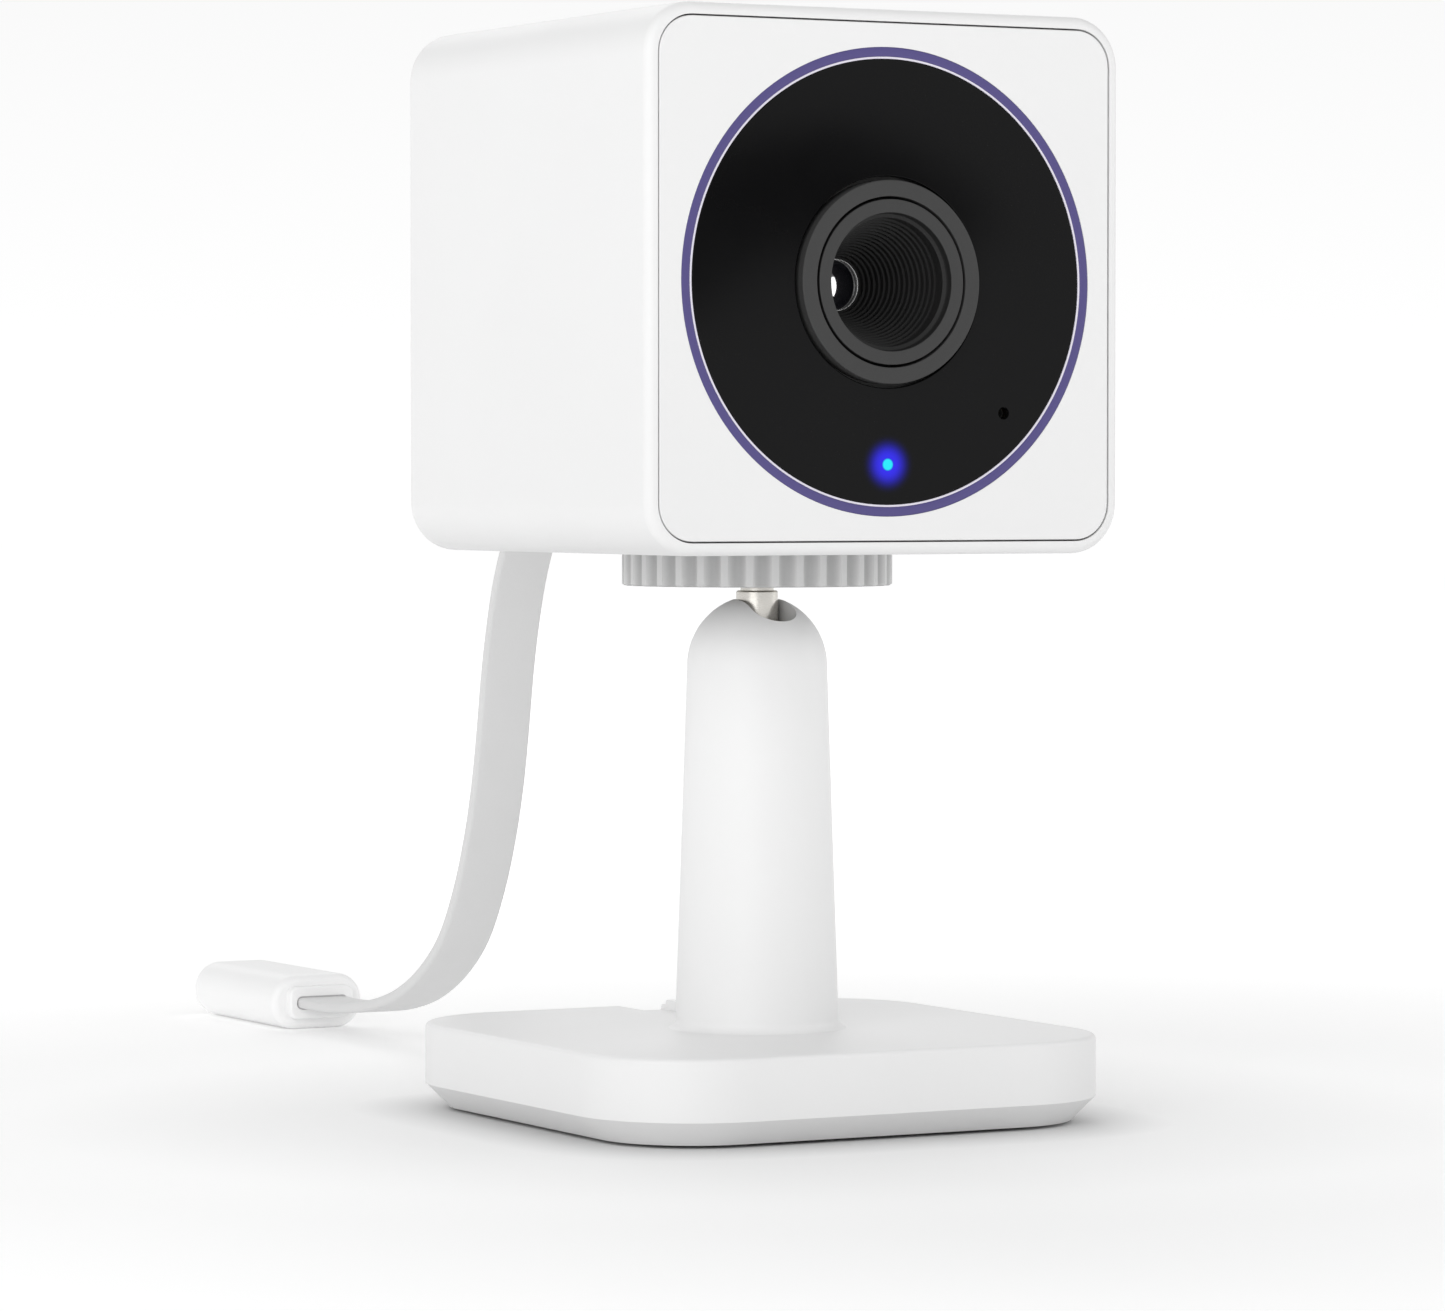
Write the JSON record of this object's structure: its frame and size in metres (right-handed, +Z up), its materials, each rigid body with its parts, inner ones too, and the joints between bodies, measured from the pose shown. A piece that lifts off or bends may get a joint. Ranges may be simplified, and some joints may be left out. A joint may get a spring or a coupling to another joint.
{
  "type": "security camera",
  "caption": "Small cube security camera with a round black front window and ribbed lens hood, on a ball-joint desk stand, with a flat cable pigtail ending in an in-line socket.",
  "frame": {"origin": "centre of the base footprint, on the surface that it stands on", "axes": "+Z up along the post, -Y is the way the lens looks, +X to the right of someone facing the lens"},
  "size_m": [0.0534, 0.1493, 0.1038],
  "materials": {
    "white_shell": "satin white moulded plastic",
    "shade_white": "pale grey-white moulded plastic",
    "accent_purple": "satin violet plastic",
    "black_glass": "polished infrared-passing black window",
    "lens_grey": "fine matt dark grey plastic",
    "bright_metal": "bright turned metal",
    "lens_glass": "coated optical glass",
    "filter_pane": "thin red-reflecting filter glass",
    "black_plastic": "matt black plastic",
    "speaker_black": "matt black cone and frame",
    "circuit_green": "solder-masked circuit board",
    "copper_wire": "enamelled copper",
    "brass": "turned brass",
    "nickel_steel": "nickel-plated steel",
    "zinc_steel": "zinc-plated steel sheet",
    "nylon": "natural nylon",
    "grey_rubber": "soft grey silicone rubber",
    "white_rubber": "smooth white cable jacket",
    "sensor_blue": "dark coated silicon under glass",
    "led_blue": "glowing clear light guide",
    "emitter_clear": "clear moulded lens"
  },
  "bodies": {
    "stand": {"base_shell": "white_shell", "base_cover": "shade_white", "weight_plate": "zinc_steel", "foot_pad": "grey_rubber", "cover_screws": "nickel_steel", "post": "white_shell", "post_nut": "nickel_steel", "tension_plug": "nickel_steel", "seat_spring": "nickel_steel", "seat_cup": "nylon"},
    "ball_stud": {"ball_stud": "nickel_steel"},
    "lock_washer": {"lock_washer": "nylon"},
    "lock_nut": {"lock_nut": "shade_white"},
    "filter_carriage": {"filter_carriage": "black_plastic", "filter_glass": "filter_pane"},
    "setup_button": {"setup_button": "shade_white"},
    "card_flap": {"card_flap": "shade_white"},
    "camera_head": {"housing": "white_shell", "thread_insert": "brass", "front_panel": "white_shell", "panel_gasket": "grey_rubber", "accent_ring": "accent_purple", "glass_carrier": "white_shell", "front_glass": "black_glass", "lens_bezel": "lens_grey", "lens_hood": "lens_grey", "lens_retainer": "bright_metal", "front_lens": "lens_glass", "lens_barrel": "black_plastic", "rear_lens": "lens_glass", "lens_holder": "black_plastic", "ir_cut_coil": "copper_wire", "image_sensor": "sensor_blue", "sensor_board": "circuit_green", "board_spacers": "brass", "heat_sink": "bright_metal", "processor": "black_plastic", "main_board": "circuit_green", "board_screws": "nickel_steel", "board_flex": "copper_wire", "led_board": "circuit_green", "status_led": "led_blue", "light_pipe": "led_blue", "ir_emitters": "emitter_clear", "microphone": "brass", "mic_tube": "grey_rubber", "speaker": "speaker_black", "wifi_antenna": "copper_wire", "card_socket": "nickel_steel", "memory_card": "black_plastic", "setup_switch": "black_plastic", "power_header": "nylon", "power_lead": "white_rubber", "cable_grommet": "white_rubber", "usb_cord": "white_rubber", "connector_body": "white_shell", "connector_collar": "white_shell", "usb_shell": "nickel_steel", "usb_tongue": "black_plastic"}
  },
  "joints": [
    {"name": "head_tilt", "type": "hinge", "parent": "stand", "child": "ball_stud", "pos_m": [0, 0, 0.043], "axis": [1, 0, 0], "range_deg": [-2, 30]},
    {"name": "head_pan", "type": "hinge", "parent": "ball_stud", "child": "camera_head", "pos_m": [0, 0, 0.043], "axis": [0, 0, 1], "continuous": true},
    {"name": "nut_lift", "type": "slide", "parent": "ball_stud", "child": "lock_washer", "axis": [0, 0, -1], "range_m": [0, 0.00095]},
    {"name": "nut_turn", "type": "hinge", "parent": "lock_washer", "child": "lock_nut", "pos_m": [0, 0, 0.052], "axis": [0, 0, -1], "range_deg": [0, 270]},
    {"name": "filter_shift", "type": "slide", "parent": "camera_head", "child": "filter_carriage", "axis": [-1, 0, 0], "range_m": [0, 0.0056]},
    {"name": "button_press", "type": "slide", "parent": "camera_head", "child": "setup_button", "axis": [0, -1, 0], "range_m": [0, 0.0006], "stiffness_N_per_m": 300, "springref_m": -0.0006},
    {"name": "flap_open", "type": "hinge", "parent": "camera_head", "child": "card_flap", "pos_m": [0.0115, 0.01975, 0.0544], "axis": [1, 0, 0], "range_deg": [0, 95]}
  ],
  "couplings": [
    {"joint": "nut_turn", "follows": "nut_lift", "rad_per_m": 4947.4}
  ]
}
